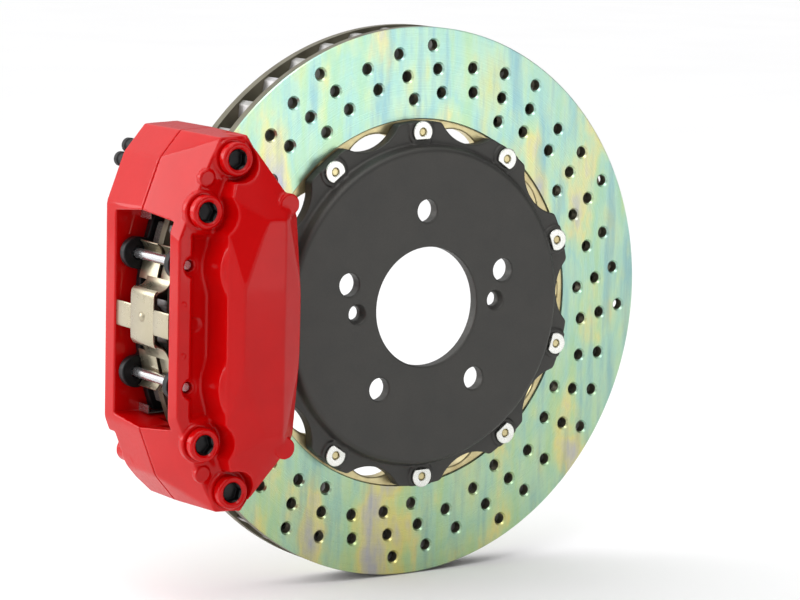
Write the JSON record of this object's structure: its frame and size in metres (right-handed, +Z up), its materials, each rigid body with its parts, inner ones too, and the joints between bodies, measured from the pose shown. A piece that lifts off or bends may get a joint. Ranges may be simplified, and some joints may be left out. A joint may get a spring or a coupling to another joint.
{
  "type": "brake caliper with disc",
  "caption": "Opposed-piston fixed brake caliper over a ventilated, cross-drilled floating disc whose ring hangs on bobbins from a black bell.",
  "frame": {"origin": "on the disc axis, in the face of the bell that seats on the hub", "axes": "+Y along the disc axis towards the vehicle, +Z up, +X away from the caliper, which sits over the -X edge"},
  "size_m": [0.3587, 0.147, 0.345],
  "materials": {
    "zinc_plated_iron": "iridescent zinc plate over machined iron",
    "anodised_bell": "black satin anodised",
    "bobbin_steel": "bright plated",
    "yellow_zinc": "yellow zinc plate",
    "black_zinc": "black zinc plate",
    "red_paint": "glossy red paint on cast aluminium",
    "rubber": "matt black",
    "piston_metal": "hard anodised",
    "polished_steel": "polished stainless",
    "spring_steel": "beige zinc plate",
    "backing_plate": "matt black paint",
    "friction_material": "matt friction compound"
  },
  "bodies": {
    "caliper": {"outboard_body": "red_paint", "inboard_body": "red_paint", "crossover_seal": "rubber", "bridge_bolt_1": "red_paint", "bridge_bolt_2": "red_paint", "bridge_bolt_3": "red_paint", "bridge_bolt_4": "red_paint", "piston_seal_outboard_upper": "rubber", "piston_seal_outboard_lower": "rubber", "piston_seal_inboard_upper": "rubber", "piston_seal_inboard_lower": "rubber", "abutment_outboard_upper": "polished_steel", "abutment_outboard_lower": "polished_steel", "abutment_inboard_upper": "polished_steel", "abutment_inboard_lower": "polished_steel", "pad_pin_upper": "polished_steel", "pad_pin_lower": "polished_steel", "pad_spring": "spring_steel", "bleed_screw_1": "black_zinc", "bleed_screw_2": "black_zinc", "bleed_cap_1": "rubber", "bleed_cap_2": "rubber"},
    "hub_bell": {"bell": "anodised_bell", "float_bobbin_1": "bobbin_steel", "float_bobbin_2": "bobbin_steel", "float_bobbin_3": "bobbin_steel", "float_bobbin_4": "bobbin_steel", "float_bobbin_5": "bobbin_steel", "float_bobbin_6": "bobbin_steel", "float_bobbin_7": "bobbin_steel", "float_bobbin_8": "bobbin_steel", "float_bobbin_9": "bobbin_steel", "float_bobbin_10": "bobbin_steel", "bobbin_bolt_1": "yellow_zinc", "bobbin_bolt_2": "yellow_zinc", "bobbin_bolt_3": "yellow_zinc", "bobbin_bolt_4": "yellow_zinc", "bobbin_bolt_5": "yellow_zinc", "bobbin_bolt_6": "yellow_zinc", "bobbin_bolt_7": "yellow_zinc", "bobbin_bolt_8": "yellow_zinc", "bobbin_bolt_9": "yellow_zinc", "bobbin_bolt_10": "yellow_zinc"},
    "rotor": {"rotor_ring": "zinc_plated_iron"},
    "pad_outboard": {"pad_backing_outboard": "backing_plate", "pad_lining_outboard": "friction_material"},
    "piston_outboard_upper": {"piston_outboard_upper": "piston_metal"},
    "piston_outboard_lower": {"piston_outboard_lower": "piston_metal"},
    "pad_inboard": {"pad_backing_inboard": "backing_plate", "pad_lining_inboard": "friction_material"},
    "piston_inboard_upper": {"piston_inboard_upper": "piston_metal"},
    "piston_inboard_lower": {"piston_inboard_lower": "piston_metal"}
  },
  "joints": [
    {"name": "disc_spin", "type": "hinge", "parent": "caliper", "child": "hub_bell", "pos_m": [0, 0, 0], "axis": [0, 1, 0], "continuous": true},
    {"name": "rotor_float", "type": "slide", "parent": "hub_bell", "child": "rotor", "axis": [0, 1, 0], "range_m": [-0.0002, 0.0002]},
    {"name": "pad_outboard_slide", "type": "slide", "parent": "caliper", "child": "pad_outboard", "axis": [0, 1, 0], "range_m": [0, 0.0005]},
    {"name": "piston_outboard_upper_slide", "type": "slide", "parent": "caliper", "child": "piston_outboard_upper", "axis": [0, 1, 0], "range_m": [0, 0.0005]},
    {"name": "piston_outboard_lower_slide", "type": "slide", "parent": "caliper", "child": "piston_outboard_lower", "axis": [0, 1, 0], "range_m": [0, 0.0005]},
    {"name": "pad_inboard_slide", "type": "slide", "parent": "caliper", "child": "pad_inboard", "axis": [0, -1, 0], "range_m": [0, 0.0005]},
    {"name": "piston_inboard_upper_slide", "type": "slide", "parent": "caliper", "child": "piston_inboard_upper", "axis": [0, -1, 0], "range_m": [0, 0.0005]},
    {"name": "piston_inboard_lower_slide", "type": "slide", "parent": "caliper", "child": "piston_inboard_lower", "axis": [0, -1, 0], "range_m": [0, 0.0005]}
  ],
  "couplings": [
    {"joint": "piston_outboard_upper_slide", "follows": "pad_outboard_slide", "ratio": 1},
    {"joint": "piston_outboard_lower_slide", "follows": "pad_outboard_slide", "ratio": 1},
    {"joint": "pad_inboard_slide", "follows": "pad_outboard_slide", "ratio": 1},
    {"joint": "piston_inboard_upper_slide", "follows": "pad_outboard_slide", "ratio": 1},
    {"joint": "piston_inboard_lower_slide", "follows": "pad_outboard_slide", "ratio": 1}
  ]
}
